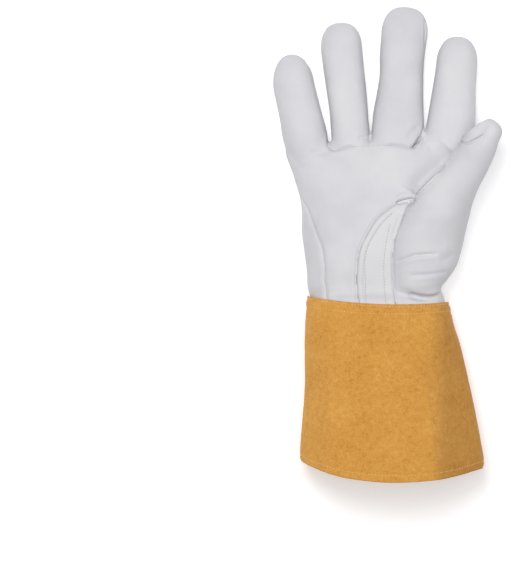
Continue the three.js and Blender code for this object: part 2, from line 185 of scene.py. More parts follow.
def curveThrough(table, at):
    # a smooth curve through the table's rows, read at the row numbers in at
    last = len(table) - 1
    i = np.clip(at.astype(int), 0, last - 1)
    f = (at - i)[:, None]
    before, here, after, later = (table[np.clip(i + k, 0, last)] for k in (-1, 0, 1, 2))
    return 0.5 * (2 * here + (after - before) * f + (2 * before - 5 * here + 4 * after - later) * f ** 2
                  + (3 * here - before - 3 * after + later) * f ** 3)


def throughRows(columns, rows, step):
    # the table's rows as a smooth run of finer rows, a dictionary each
    table = np.array(rows, float)
    gaps = np.abs(np.diff(table[:, columns.index("y") if "y" in columns else 0]))
    count = max(len(rows), round(gaps.sum() / step))
    ends = np.concatenate(([0], np.cumsum(gaps)))
    at = np.interp(np.linspace(0, ends[-1], count), ends, np.arange(len(rows)))
    return [dict(zip(columns, values)) for values in curveThrough(table, at)]


def rowsOf(table, rows="rows", columns="columns"):
    # a table's rows, a dictionary each
    return [dict(zip(table[columns], row)) for row in table[rows]]


def unit(value):
    return np.clip(value, 0, 1)


def signedPower(value, power):
    return math.copysign(abs(value) ** power, value)


def sectionRing(x, y, z, half, thick, lean=0.0, flat=0.0, sides=leather["sides"], roundTop=leather["roundTop"]):
    ring = []
    for k in range(sides):
        turn = 2 * math.pi * k / sides
        power = 2 / (leather["roundLow"] if math.sin(turn) < 0 else roundTop)
        across = signedPower(math.cos(turn), power) * half
        up = signedPower(math.sin(turn), power) * thick
        ring.append(Vector((x + across * math.cos(lean), y + across * math.sin(lean), max(z + up, flat))) * mm)
    return ring


def bridgeRings(rings, closedRun=False):
    bm = bmesh.new()
    loops = []
    for ring in rings:
        made = bmesh.ops.create_circle(bm, segments=len(ring), radius=1)["verts"]
        for vert, place in zip(made, ring):
            vert.co = place
        loops.append(list({edge for vert in made for edge in vert.link_edges}))
    pairs = list(zip(loops, loops[1:]))
    if closedRun:
        pairs.append((loops[-1], loops[0]))
    for first, second in pairs:
        bmesh.ops.bridge_loops(bm, edges=first + second)
    if not closedRun:
        bmesh.ops.contextual_create(bm, geom=loops[0])
        bmesh.ops.contextual_create(bm, geom=loops[-1])
    bmesh.ops.recalc_face_normals(bm, faces=bm.faces)
    return bm


def tipRings(start, tip, lean, square, roundTop=leather["roundTop"]):
    length = math.hypot(tip[0] - start["x"], tip[1] - start["y"])
    rings = []
    for degrees in np.linspace(6, 88, 14):
        along = math.sin(math.radians(degrees))
        width = (1 - along ** square) ** (1 / square)
        tipZ = tip[2] if len(tip) > 2 else start["z"]
        rings.append(sectionRing(
            start["x"] - math.sin(lean) * length * along, start["y"] + math.cos(lean) * length * along,
            start["z"] + (tipZ - start["z"]) * along, start["half"] * width, start["thick"] * width, lean,
            roundTop=roundTop))
    return rings


def handRings():
    rings = []
    for row in throughRows(hand["columns"], hand["rows"], leather["step"]):
        rings.append(sectionRing(
            (row["left"] + row["right"]) / 2, row["y"], (row["low"] + row["top"]) / 2,
            (row["right"] - row["left"]) / 2, (row["top"] - row["low"]) / 2, flat=max(row["flat"], 0),
            sides=leather["handSides"]))
    return rings


def fingerRings(finger):
    rows = throughRows(fingers["columns"], finger["rows"], leather["step"])
    first, tip = rows[0], finger["tip"]
    for row in rows:
        row["z"], row["thick"] = (row["low"] + row["top"]) / 2, (row["top"] - row["low"]) / 2
    lean = math.atan2(first["x"] - tip[0], tip[1] - first["y"])
    rings = [sectionRing(row["x"], row["y"], row["z"], row["half"], row["thick"], lean,
                         roundTop=finger["roundTop"]) for row in rows]
    last = rows[-1]
    leanEnd = math.atan2(last["x"] - tip[0], tip[1] - last["y"])
    return rings + tipRings(last, tip, leanEnd, finger["square"], finger["roundTop"])


def thumbRings():
    rings = []
    for row in throughRows(thumb["moundColumns"], thumb["mound"], leather["step"]):
        half = (row["outline"] - row["seam"]) / (1 + thumb["seamShare"])
        rings.append(sectionRing(row["outline"] - half, row["y"], (row["low"] + row["top"]) / 2, half,
                                 (row["top"] - row["low"]) / 2))
    rows = throughRows(thumb["stallColumns"], thumb["stall"], leather["step"])
    last, tip = rows[-1], thumb["tip"]
    leanEnd = math.atan2(last["x"] - tip[0], tip[1] - last["y"])
    for k, row in enumerate(rows):
        ahead = rows[min(k + 2, len(rows) - 1)]
        lean = math.atan2(row["x"] - ahead["x"], ahead["y"] - row["y"]) if ahead is not row else leanEnd
        lean *= min(1, 0.6 + 0.4 * k / 6)
        rings.append(sectionRing(row["x"], row["y"], row["z"], row["half"], row["thick"], lean))
    return rings + tipRings(last, tip, leanEnd, thumb["square"])


# The whole leather hand as one skin: lofted bodies, made one by a voxel remesh and smoothed
bodies = {"hand": handRings(), "thumb": thumbRings()}
bodies.update({name: fingerRings(fingers[name]) for name in ("little", "ring", "middle", "index")})


def gatherBodies(names):
    # the named lofts as loose parts of one bmesh
    gathered = bmesh.new()
    for name in names:
        loft = meshOf("loft", bridgeRings(bodies[name]))
        gathered.from_mesh(loft)
        bpy.data.meshes.remove(loft)
    return gathered


skinObject = addObject("skin", meshOf("skin", gatherBodies(bodies)))
remesh = skinObject.modifiers.new("remesh", "REMESH")
remesh.mode, remesh.voxel_size, remesh.adaptivity = "VOXEL", leather["voxel"] * mm, 0
soften = skinObject.modifiers.new("soften", "SMOOTH")
soften.factor, soften.iterations = 0.5, leather["smoothing"]
graph = bpy.context.evaluated_depsgraph_get()
skinMesh = bpy.data.meshes.new_from_object(skinObject.evaluated_get(graph))
bpy.data.objects.remove(skinObject)
print("skin", len(skinMesh.vertices), "points")


def readPoints(mesh):
    flatPoints = np.empty(len(mesh.vertices) * 3)
    mesh.vertices.foreach_get("co", flatPoints)
    flatNormals = np.empty(len(mesh.vertices) * 3)
    mesh.vertices.foreach_get("normal", flatNormals)
    return flatPoints.reshape(-1, 3) / mm, flatNormals.reshape(-1, 3)


def writePoints(mesh, points):
    mesh.vertices.foreach_set("co", (points * mm).ravel())
    mesh.update()


# Distances in plan and smooth lines, in millimetres
def smoothLine(knots, steps=8):
    table = np.array(knots, float)
    last = len(table) - 1
    return curveThrough(table, np.linspace(0, last, last * steps + 1))


def photoLine(pixels):
    # a smooth line through pixels of the photo
    return smoothLine([photoPoint(*pixel) for pixel in pixels])


def alongLine(line, places):
    # signed distance to a line, positive on its left, and the share of its length passed
    lengths = np.hypot(*np.diff(line[:, :2], axis=0).T)
    starts = np.concatenate(([0], np.cumsum(lengths)))
    best = np.full(len(places), 1e9)
    side = np.ones(len(places))
    share = np.zeros(len(places))
    for k, (a, b) in enumerate(zip(line[:, :2], line[1:, :2])):
        d = b - a
        t = unit(((places[:, 0] - a[0]) * d[0] + (places[:, 1] - a[1]) * d[1]) / (d @ d))
        dx, dy = places[:, 0] - a[0] - t * d[0], places[:, 1] - a[1] - t * d[1]
        far = np.hypot(dx, dy)
        nearer = far < best
        best[nearer] = far[nearer]
        side[nearer] = np.sign(d[0] * dy - d[1] * dx)[nearer]
        share[nearer] = ((starts[k] + t * lengths[k]) / starts[-1])[nearer]
    return best * side, share


# The seams: lines in plan, and the height of the side seams along the hand
seams = {
    "wedgeLeft": smoothLine([(-18.9, -62), (-18.9, -37), (-19.9, -28), (-20.2, -18), (-18.3, -3.5),
                             (-12.6, 8.5), (-6.3, 17.4), (2.3, 24.2), (9.1, 27.2), (16.7, 28.6)]),
    "wedgeRight": smoothLine([(5.8, -62), (4.9, -37.2), (3.0, -24), (2.6, -9.1), (3.4, 2.2), (6.3, 11.0),
                              (9.8, 21.4), (12.6, 25.6), (16.7, 28.6)]),
    "thumbEdge": np.array([(16.7, 28.6), (34.0, 24.0), (80.0, 22.0)]),
    "crease": smoothLine([(-40.0, 67.0), (-38.0, 64.4), (-37.2, 62.0), (-35.3, 59.9), (-30.9, 60.1),
                          (-24.6, 61.2), (-12.6, 62.2), (-2.0, 62.6), (6.9, 62.1), (12.6, 61.1), (16.2, 61.4),
                          (18.0, 63.3), (19.4, 65.2), (21.0, 67.4), (21.9, 69.9), (22.3, 73.4), (22.4, 77.2)]),
    "littleRing": np.array([(-38.6, 40), (-37.6, 64), (-39.4, 84), (-43, 103), (-48, 125), (-48, 170)]),
    "ringMiddle": np.array([(-11.9, 40), (-11.9, 64), (-10.9, 84), (-9.9, 103), (-10.7, 170)]),
    "middleIndex": np.array([(21.9, 40), (22.9, 64), (24.2, 84), (25.6, 103), (28, 131), (30, 170)]),
    "littleSide": [(-80, 37), (-47.5, 36), (-36, 34.7), (-31.5, 31.9), (-14, 31), (-1.6, 30), (9, 27),
                   (18.6, 22.5), (30, 16), (46, 12.5), (62, 11.4), (170, 10)],
    "thumbSide": [(-80, 23), (-20, 18), (62, 11.4), (170, 10)],
    "stripAbove": 2.0, "stripBelow": 7.5, "stripStart": 57.0, "stripRound": 12.0,
}


def sideSeam(places):
    little, thumbWard = (np.interp(places[:, 1], *np.array(seams[name]).T)
                         for name in ("littleSide", "thumbSide"))
    return np.where(places[:, 0] < 0, little, thumbWard)


def pastLine(name, places):
    # how far points lie to the right of a line that runs up the fingers
    return places[:, 0] - np.interp(places[:, 1], *seams[name][:, ::-1].T)


def edgeHeight(places):
    # y of the upper edge of the thumb's root
    return np.interp(places[:, 0], *seams["thumbEdge"].T)


def betweenFingers(places):
    # for each gap between two fingers, whether a point is on its walls, and how wide its strip is there
    axes = {name: np.array([row[:2] for row in fingers[name]["rows"][1:]] + [fingers[name]["tip"]])
            for name in ("little", "ring", "middle", "index")}
    found = []
    for left, right in (("little", "ring"), ("ring", "middle"), ("middle", "index")):
        xLeft, xRight = (np.interp(places[:, 1], axes[n][:, 1], axes[n][:, 0]) for n in (left, right))
        inside = ((places[:, 0] > xLeft + 2.5) & (places[:, 0] < xRight - 2.5)
                  & (places[:, 1] > seams["stripStart"]))
        middle = (xLeft + xRight) / 2
        end = np.where(places[:, 0] < middle, fingers[left]["tip"][1], fingers[right]["tip"][1]) - 5.5
        reach = unit((places[:, 1] - end + seams["stripRound"]) / seams["stripRound"])
        found.append((inside & (places[:, 1] < end), np.sqrt(1 - reach ** 2)))
    return found


def inStrip(places, narrowed, above):
    side = places[:, 2] - sideSeam(places)
    width = seams["stripAbove"] if above else seams["stripBelow"]
    middle = (seams["stripAbove"] - seams["stripBelow"]) / 2
    half = (seams["stripAbove"] + seams["stripBelow"]) / 2
    return side - middle - half * narrowed if above else side - middle + half * narrowed


# Which parts of the skin came from the thumb: positive on it, negative on the rest of the hand
def treeOf(names):
    gathered = gatherBodies(names)
    tree = BVHTree.FromBMesh(gathered)
    gathered.free()
    return tree


thumbTree, restTree = treeOf(["thumb"]), treeOf([name for name in bodies if name != "thumb"])


def thumbShare(places):
    shares = np.full(len(places), -5.0)
    for i in np.nonzero((places[:, 0] > 2) & (places[:, 1] < 95))[0]:
        place = Vector(places[i]) * mm
        shares[i] = (restTree.find_nearest(place)[3] - thumbTree.find_nearest(place)[3]) / mm
    return shares


places, normals = readPoints(skinMesh)
onThumb = thumbShare(places)

# The lofts meet in soft hollows: the skin is relaxed there, on the palm side
relaxed = {
    "columns": ("middle", "reach", "above", "times"),
    "rows": [
        ((-5.0, 60.0), (58.0, 10.0), 15.0, 40),
        ((22.0, -26.0), (26.0, 7.0), 20.0, 8),
        ((5.5, -6.0), (8.0, 36.0), 24.0, 14),
        ((-20.0, -20.0), (8.0, 16.0), 24.0, 14),
        ((35.0, 61.0), (17.0, 12.0), 12.0, 80),
        ((33.0, 48.0), (9.0, 9.0), 14.0, 12),
    ],
}
flatEdges = np.empty(len(skinMesh.edges) * 2, int)
skinMesh.edges.foreach_get("vertices", flatEdges)
first, second = flatEdges.reshape(-1, 2).T
neighbours = np.bincount(np.concatenate((first, second)), minlength=len(places))[:, None]
for spot in rowsOf(relaxed):
    far = np.abs(places[:, :2] - spot["middle"]) / spot["reach"]
    weight = unit(2.4 - 2.4 * far.max(axis=1)) * unit((places[:, 2] - spot["above"]) / 3)
    for _ in range(spot["times"]):
        total = np.stack([np.bincount(first, places[second, k], len(places))
                          + np.bincount(second, places[first, k], len(places)) for k in range(3)], axis=1)
        places += 0.6 * weight[:, None] * (total / neighbours - places)
writePoints(skinMesh, places)
places, normals = readPoints(skinMesh)
seamHeight = sideSeam(places)
facingUp = unit((normals[:, 2] + 0.1) / 0.4)
facingDown = unit((-normals[:, 2] + 0.1) / 0.4)

# Folds and dents of the palm side, a row each: where, the line through its points, how deep and wide the
# crease is, and how high the leather stands on its left and its right
folds = {
    "columns": ("on", "line", "deep", "wide", "left", "right"),
    "palm": [
        # thumb's root
        ("any", [(395, 262.4), (404, 259.6), (411, 257), (416, 255.6), (426, 254.8),
                 (438, 254.2)], 1.2, 1.0, 0.1, 0.4),
        ("any", [(407, 275.6), (421, 275.4), (434, 273.8), (449, 271.6)], 0.8, 1.2, 0.1, 0.25),
        ("any", [(408, 294.4), (414, 296.4), (421, 297.8), (429, 298.2), (436, 296.6),
                 (441, 293.4)], 2.6, 1.5, 0.8, 0.3),
        ("any", [(403, 213), (400, 222), (396.6, 231)], 1.1, 0.7, 0.1, 0.1),
        ("any", [(440, 262), (448, 258), (455, 252)], 0.7, 2.6, 0.3, 0.3),
        # thumb's tip: the hollow beside its flattened side
        ("thumb", [(468, 146), (476, 142.5), (483, 137), (488, 130.5), (490.5, 124)], 1.3, 3.0, 0.3, 0.0),
        ("thumb", [(456, 139.4), (458.4, 141.6)], 0.9, 0.8, 0.0, 0.3),
        # crotch of the thumb, and the palm that falls off towards the thumb
        ("any", [(397, 204.4), (403, 201.6), (408.4, 200.8), (414.6, 199.4)], 3.0, 1.6, 0.9, 0.3),
        ("any", [(397.6, 208.6), (403, 206.2), (407.6, 203.8)], 0.9, 0.8, 0.5, 0.4),
        ("any", [(400, 211.6), (403, 208.6), (406.4, 206.4)], 0.7, 0.7, 0.3, 0.3),
        ("hand", [(451, 150), (440, 163), (428, 174), (419, 184), (413, 193)], 6.5, 6.5, 0.0, 0.0),
        # roots of the fingers
        ("hand", [(408, 138), (410.5, 134.6), (415, 130.4), (418.2, 125.6)], 0.6, 1.6, 0.3, 0.3),
        ("hand", [(421, 146.6), (423, 143.4), (425.4, 138.6)], 0.7, 0.9, 0.7, 0.2),
        ("hand", [(358, 139), (363, 137.6), (367, 138.4)], 0.6, 1.4, 0.3, 0.3),
        ("hand", [(428, 149), (435, 150.6), (443, 151.6)], 0.6, 2.6, 0.0, 0.0),
        ("hand", [(309, 153.4), (320, 152.6), (330, 152)], 0.5, 1.6, 0.2, 0.1),
        ("hand", [(299, 169.4), (304, 168), (310, 166)], 0.5, 1.4, 0.2, 0.2),
        # faint waves across the palm
        ("hand", [(312, 214), (322, 246), (322, 280)], 0.5, 5.0, 0.0, 0.0),
        ("hand", [(344, 176), (352, 214), (348, 250)], 0.35, 7.0, 0.0, 0.0),
        # hollows of the fingers, where they bend
        ("hand", [(280, 100), (292, 102), (303, 100)], 0.5, 5.0, 0.0, 0.0),
        ("hand", [(329, 88), (342, 90), (357, 88)], 0.5, 5.0, 0.0, 0.0),
        ("hand", [(382, 76), (400, 79), (418, 76)], 0.6, 5.0, 0.0, 0.0),
        ("hand", [(434, 92), (450, 95), (468, 92)], 0.5, 5.0, 0.0, 0.0),
    ],
    "backColumns": ("line", "deep", "wide", "left", "right"),
    "back": [
        # long folds that run to the ends of the elastic
        ([(44, 13), (37, -4), (29, -18), (23, -26)], 2.2, 2.2, 0.0, 0.0),
        ([(33, 8), (28, -6), (21, -20)], 1.2, 2.6, 0.0, 0.0),
        ([(-45, 8), (-38, -5), (-29.6, -18)], 2.4, 1.7, 0.0, 0.0),
        ([(-34, -22), (-35.4, -30), (-39, -36)], 1.4, 1.8, 0.0, 0.0),
        ([(24, -26), (27, -32), (30, -38)], 1.3, 1.8, 0.0, 0.0),
        # roots of the fingers
        ([(-15, 58.6), (-24, 57.8), (-37, 59.6)], 1.1, 1.6, 0.0, 0.0),
        ([(22, 62), (15, 57), (6, 55.6)], 0.7, 2.2, 0.0, 0.0),
        ([(44, 40), (30, 34), (18, 22)], 0.8, 6.0, 0.0, 0.0),
        ([(-52, 44), (-40, 38), (-34, 24)], 0.8, 5.0, 0.0, 0.0),
    ],
}


def foldDepth(fold, line):
    away, share = alongLine(line, places)
    taper = unit(np.minimum(share, 1 - share) * 5) ** 0.6
    depth = -fold["deep"] * np.exp(-np.abs(away / fold["wide"]) ** 1.6)
    for height, sign in ((fold["left"], 1), (fold["right"], -1)):
        depth += height * np.exp(-((away * sign - 2.1 * fold["wide"]) / (1.1 * fold["wide"])) ** 2)
    return depth * taper


lift = np.zeros(len(places))
for fold in rowsOf(folds, "palm"):
    where = {"thumb": onThumb > -0.3, "hand": onThumb < 0.3, "any": onThumb > -9}[fold["on"]]
    lift += foldDepth(fold, photoLine(fold["line"])) * facingUp * where
for fold in rowsOf(folds, "back", "backColumns"):
    lift += foldDepth(fold, smoothLine(fold["line"])) * facingDown * (onThumb < 0)

# The thumb's tip is flattened along its inner edge, a straight line in plan
flatSides = [{"from": (42.2, 65.2), "to": (58.6, 76.9), "fade": 6.0, "share": 0.85},
             {"from": (54.0, 75.2), "to": (63.0, 78.8), "fade": 5.0, "share": 0.85}]
for side in flatSides:
    start, reach = np.array(side["from"]), np.subtract(side["to"], side["from"])
    length = np.hypot(*reach)
    out = np.array([-reach[1], reach[0]]) / length
    along = (places[:, :2] - start) @ reach / length
    over = np.maximum((places[:, :2] - start) @ out, 0) * side["share"]
    over *= unit(1 + along / side["fade"]) * unit(1 + (length - along) / side["fade"])
    places[:, :2] -= np.outer(over * (onThumb > 0), out)

# The palm rounds off towards the little finger's side
rounded = {"reach": 18.0, "drop": 5.5, "above": 13.0}
leftEdge = np.interp(places[:, 1], [row[0] for row in hand["rows"]], [row[1] for row in hand["rows"]])
near = unit(1 - (places[:, 0] - leftEdge) / rounded["reach"])
near = near ** 2 * unit((38 - places[:, 1]) / 16)
places[:, 2] -= rounded["drop"] * near * unit((places[:, 2] - rounded["above"]) / 10)

# The wedge stands a little proud along its stitched edges
wedge = {"leftBand": 4.9, "rightBand": 2.6, "proud": 0.55, "press": 0.35, "rightRow": 5.4}
leftAway, rightAway = (alongLine(seams[name], places)[0] for name in ("wedgeLeft", "wedgeRight"))
inWedge = (leftAway < 0) & (rightAway > 0) & (places[:, 1] < 28) & (places[:, 2] > seamHeight) & (onThumb < 2)
narrowing = np.clip((22 - places[:, 1]) / 12, 0.25, 1)


def bandProfile(away, band):
    rise = unit(away / 0.8) * unit((band - away) / 0.8)
    return wedge["proud"] * rise - wedge["press"] * np.exp(-((away - band) / 0.7) ** 2)


lift += inWedge * facingUp * (bandProfile(-leftAway, wedge["leftBand"]) * unit(narrowing + 0.3)
                              + 0.6 * bandProfile(rightAway, wedge["rightBand"]) * narrowing
                              - 0.3 * narrowing * np.exp(-((rightAway - wedge["rightRow"]) / 0.7) ** 2))

# Puckers that the elastic draws across the back of the wrist
elastic = {"y": -23.6, "reachAbove": 15.0, "reachBelow": 12.0, "left": -38.0, "right": 25.0, "pitch": 6.6,
           "lift": 3.0, "spread": 0.014, "groove": 1.0}
above = places[:, 1] > elastic["y"]
away = np.abs(places[:, 1] - elastic["y"])
centreX = (elastic["left"] + elastic["right"]) / 2
across = (places[:, 0] - centreX) / (1 + elastic["spread"] * away)
halfWide = (elastic["right"] - elastic["left"]) / 2
wobble = np.array([noise.noise(Vector((x * 0.09, y * 0.05, 3.1))) for x, y in zip(across, places[:, 1])])
turn = 2 * np.pi * across / elastic["pitch"] + 1.6 * wobble
reach = np.where(above, elastic["reachAbove"], elastic["reachBelow"]) * (0.8 + 0.5 * wobble)
fading = unit(1 - away / reach) ** 0.8 * unit((halfWide + 3 - np.abs(across)) / 8)
lift -= facingDown * (onThumb < 0) * (elastic["lift"] * fading * (0.5 + 0.5 * np.cos(turn)) ** 1.8
                                      + elastic["groove"] * np.exp(-(away / 1.1) ** 2) * (fading > 0))

# Soft unevenness of leather that a hand has shaped
uneven = {"broad": (26.0, 0.45), "fine": (9.0, 0.16), "under": 0.8}
for size, height in (uneven["broad"], uneven["fine"]):
    lift += height * np.array([noise.noise(Vector(place) / size) for place in places])
places += normals * lift[:, None]
resting = unit(1.2 - np.maximum(places[:, 2], 0)) * facingDown
dents = np.array([max(0, noise.noise(Vector((x, y, 4)) / 21)) for x, y in places[:, :2]])
places[:, 2] = np.maximum(places[:, 2], 0) + uneven["under"] * dents * resting
writePoints(skinMesh, places)
print("folds pressed")

# The panels: the skin is split along the seams, with the seam's own field as height for a moment
panels = bmesh.new()
panels.from_mesh(skinMesh)
placeLayer = panels.verts.layers.float_vector.new("place")
thumbLayer = panels.verts.layers.float.new("thumb")
markLayer = panels.edges.layers.int.new("mark")
for vert, share in zip(panels.verts, onThumb.tolist()):
    vert[placeLayer] = vert.co
    vert[thumbLayer] = share


def splitAlong(field, region, mark=0, snap=0.12):
    panels.verts.ensure_lookup_table()
    here = np.array([vert[placeLayer] for vert in panels.verts]) / mm
    share = np.array([vert[thumbLayer] for vert in panels.verts])
    heights = field(here, share)
    near = np.nonzero(region(here, share) & (np.abs(heights) < 2.5))[0]
    for i in near:
        for vert in {corner for face in panels.verts[i].link_faces for corner in face.verts}:
            place = vert[placeLayer]
            vert.co = (place.x, place.y, heights[vert.index] * mm)
    crossed = [face for face in dict.fromkeys(face for i in near for face in panels.verts[i].link_faces)
               if min(vert.co.z for vert in face.verts) < 0 < max(vert.co.z for vert in face.verts)]
    geometry = [*dict.fromkeys(vert for face in crossed for vert in face.verts),
                *dict.fromkeys(edge for face in crossed for edge in face.edges), *crossed]
    cut = bmesh.ops.bisect_plane(panels, geom=geometry, dist=snap * mm, plane_co=(0, 0, 0), plane_no=(0, 0, 1))
    for item in cut["geom_cut"]:
        if mark and isinstance(item, bmesh.types.BMEdge):
            item[markLayer] = mark
    for vert in panels.verts:
        vert.co = vert[placeLayer]


def offStall(here, share):
    return ~((share > 0) & (here[:, 1] > edgeHeight(here)) & (here[:, 0] > 10))


splitAlong(lambda here, share: here[:, 2] - sideSeam(here), offStall)
splitAlong(lambda here, share: share,
           lambda here, share: (here[:, 1] > edgeHeight(here) - 3) & (here[:, 0] > 10) & (here[:, 1] < 80))
splitAlong(lambda here, share: here[:, 1] - edgeHeight(here),
           lambda here, share: (here[:, 0] > 15) & (here[:, 2] > sideSeam(here) - 2) & (share < 2))
for name in ("wedgeLeft", "wedgeRight"):
    splitAlong(lambda here, share: alongLine(seams[name], here)[0],
               lambda here, share: (here[:, 2] > 24) & (here[:, 1] < 29.5) & (np.abs(here[:, 0]) < 22))
splitAlong(lambda here, share: alongLine(seams["crease"], here)[0],
           lambda here, share: (here[:, 2] > sideSeam(here) - 1) & (here[:, 0] > -38.6) & (here[:, 0] < 23.5)
           & (here[:, 1] > 58) & (here[:, 1] < 77))
splitAlong(lambda here, share: pastLine("ringMiddle", here),
           lambda here, share: (here[:, 2] > sideSeam(here) - 1) & (here[:, 1] > 61) & (here[:, 1] < 90))
for name in ("littleRing", "middleIndex"):
    splitAlong(lambda here, share: pastLine(name, here),
               lambda here, share: (here[:, 2] > sideSeam(here) - 1) & (here[:, 1] > 62) & (here[:, 1] < 90))
for gap in range(3):
    for over in (True, False):
        splitAlong(lambda here, share: inStrip(here, betweenFingers(here)[gap][1], over),
                   lambda here, share: betweenFingers(here)[gap][0])

# Lines pressed into one panel: where, the line through its points, and its depth, width and lips
pressed = {
    "columns": ("line", "deep", "wide", "proud"),
    "rows": [
        # welted seam along the thumb's inner side
        ([(416, 196.4), (421, 191.5), (426.5, 186), (432, 180.5), (438, 174.6)], 1.5, 0.6, 0.6),
        ([(457.8, 144.6), (455.6, 149), (453, 154.5), (450.5, 159.5), (446.6, 165)], 1.1, 0.6, 0.5),
        # lower edge of the thumb tip's flattened side
        ([(457.4, 141), (460.3, 142.3), (463.5, 143.3), (466.8, 143.6), (470, 142.8), (473.2, 141.2),
          (478, 138.8), (482, 136.4)], 1.1, 0.6, 0.3),
    ],
}
for number, row in enumerate(pressed["rows"], 1):
    weltLine = photoLine(row[0])
    ends = [(weltLine[k], weltLine[k] - weltLine[step]) for k, step in ((0, 1), (-1, -2))]

    def besideWelt(here, share):
        within = (share > 0) & (here[:, 2] > 20)
        for end, outwards in ends:
            within &= (here[:, :2] - end) @ outwards < 0
        return within & (np.abs(alongLine(weltLine, here)[0]) < 3)

    splitAlong(lambda here, share: alongLine(weltLine, here)[0], besideWelt, mark=number)
print("seams split", len(panels.faces), "faces")

panels.faces.ensure_lookup_table()
centres = np.array([face.calc_center_median() for face in panels.faces]) / mm
share = np.array([sum(vert[thumbLayer] for vert in face.verts) / len(face.verts) for face in panels.faces])
side = centres[:, 2] - sideSeam(centres)
creaseSide = alongLine(seams["crease"], centres)[0]
past = {name: pastLine(name, centres) for name in ("littleRing", "ringMiddle", "middleIndex")}
label = np.where(side > 0, "palm", "back").astype("U24")
fronts = (side > 0) & (creaseSide > 0) & (centres[:, 1] > 58)
label[fronts & (past["littleRing"] > 0) & (past["ringMiddle"] < 0)] = "ringFront"
label[fronts & (past["ringMiddle"] > 0) & (past["middleIndex"] < 0)] = "middleFront"
for name, (inside, narrowed) in zip(("stripLittle", "stripRing", "stripIndex"), betweenFingers(centres)):
    label[inside & (inStrip(centres, narrowed, True) < 0) & (inStrip(centres, narrowed, False) > 0)] = name
onLeft, onRight = (alongLine(seams[name], centres)[0] for name in ("wedgeLeft", "wedgeRight"))
root = (side > 0) & (centres[:, 1] < edgeHeight(centres)) & (centres[:, 0] > -24)
label[root & (onLeft < 0) & (onRight > 0)] = "wedge"
label[root & (onRight < 0)] = "thumb"
label[(share > 0) & (centres[:, 1] >= edgeHeight(centres)) & (centres[:, 0] > 10)] = "thumb"
kinds = sorted(set(label))
for face, name in zip(panels.faces, label):
    face.material_index = kinds.index(name)

# Small islands left over by a seam join the panel that surrounds them
def mendIslands(smallest=60):
    seen = set()
    for start in panels.faces:
        if start.index in seen:
            continue
        island, queue, around = [], [start], {}
        seen.add(start.index)
        while queue:
            face = queue.pop()
            island.append(face)
            for edge in face.edges:
                for other in edge.link_faces:
                    if other.material_index != face.material_index:
                        around[other.material_index] = around.get(other.material_index, 0) + 1
                    elif other.index not in seen:
                        seen.add(other.index)
                        queue.append(other)
        if len(island) < smallest and around:
            for face in island:
                face.material_index = max(around, key=around.get)
            print("mended", len(island), kinds[max(around, key=around.get)])


mendIslands()

# Every seam dips: each kind of seam with its depth and width, and how proud the leather stands beside it
grooves = {
    "columns": ("deep", "wide", "proud"),
    "plain": (0.75, 1.1, 0.12),
    "palm wedge": (1.0, 1.0, 0.25),
    "thumb wedge": (1.0, 1.0, 0.25),
    "palm thumb": (0.7, 1.4, 0.2),
    "middleFront ringFront": (0.9, 0.9, 0.0),
    "middleFront palm": (1.1, 1.0, 0.3),
    "palm ringFront": (1.1, 1.0, 0.3),
    "back palm": (0.7, 1.3, 0.2),
}
# Where grooves fade out, in millimetres on the glove: the crease between the two set-in fronts, the thumb's
# crotch and the seam between the fronts; and where the right root of the middle finger is deeper
fades = {"creaseMiddle": -11.3, "creaseFlat": 7, "creaseFade": 6, "rootX": 14, "rootWide": 4, "rootY": 76,
         "rootLong": 8, "rootDeep": 3.4, "crotch": (41, 58), "crotchFade": 5,
         "frontsY": 63.6, "frontsFade": 2}


def isSeam(edge):
    return edge[markLayer] or len({face.material_index for face in edge.link_faces}) > 1


beside = {vert for edge in panels.edges if isSeam(edge) for vert in edge.verts}
beside |= {corner for vert in beside for face in vert.link_faces for corner in face.verts}
fineEdges = list(dict.fromkeys(edge for vert in beside for face in vert.link_faces for edge in face.edges))
bmesh.ops.subdivide_edges(panels, edges=fineEdges, cuts=1, use_grid_fill=True)
borderPlaces, borderKinds = [], []
for edge in panels.edges:
    names = sorted({kinds[face.material_index] for face in edge.link_faces})
    if isSeam(edge):
        values = pressed["rows"][edge[markLayer] - 1][1:] if edge[markLayer] else grooves.get(
            " ".join(names[:2]), grooves["plain"])
        groove = dict(zip(grooves["columns"], values))
        middle = (edge.verts[0].co + edge.verts[1].co) / 2
        x, y = middle.x / mm, middle.y / mm
        fade = 1
        if {"ringFront", "middleFront"} & set(names) and "palm" in names:
            away = abs(x - fades["creaseMiddle"]) - fades["creaseFlat"]
            fade = max(0.05, unit(away / fades["creaseFade"]))
            groove["deep"] += (unit((x - fades["rootX"]) / fades["rootWide"])
                               * unit((fades["rootY"] - y) / fades["rootLong"]) * fades["rootDeep"])
        if names == ["palm", "thumb"]:
            start, end = fades["crotch"]
            fade = max(0.1, unit(max(start - y, y - end) / fades["crotchFade"]))
        if names == ["middleFront", "ringFront"]:
            fade = unit((y - fades["frontsY"]) / fades["frontsFade"])
        groove["deep"] *= fade
        groove["proud"] *= fade
        for place in (edge.verts[0].co, middle, edge.verts[1].co):
            borderPlaces.append(place.copy())
            borderKinds.append((groove["deep"], groove["wide"], groove["proud"]))
borderTree = kdtree.KDTree(len(borderPlaces))
for i, place in enumerate(borderPlaces):
    borderTree.insert(place, i)
borderTree.balance()
panels.normal_update()
moves = []
for vert in panels.verts:
    _, i, away = borderTree.find(vert.co)
    deep, wide, proud = borderKinds[i]
    away /= mm
    if away < 6 * wide:
        drop = -deep * math.exp(-(away / wide) ** 1.5)
        drop += proud * math.exp(-((away - 2.2 * wide) / (1.2 * wide)) ** 2)
        moves.append((vert, vert.normal * drop * mm))
for vert, move in moves:
    vert.co += move
softened = [vert for vert, move in moves if vert.co.z > 0.5 * mm and move.length > 0.05 * mm]
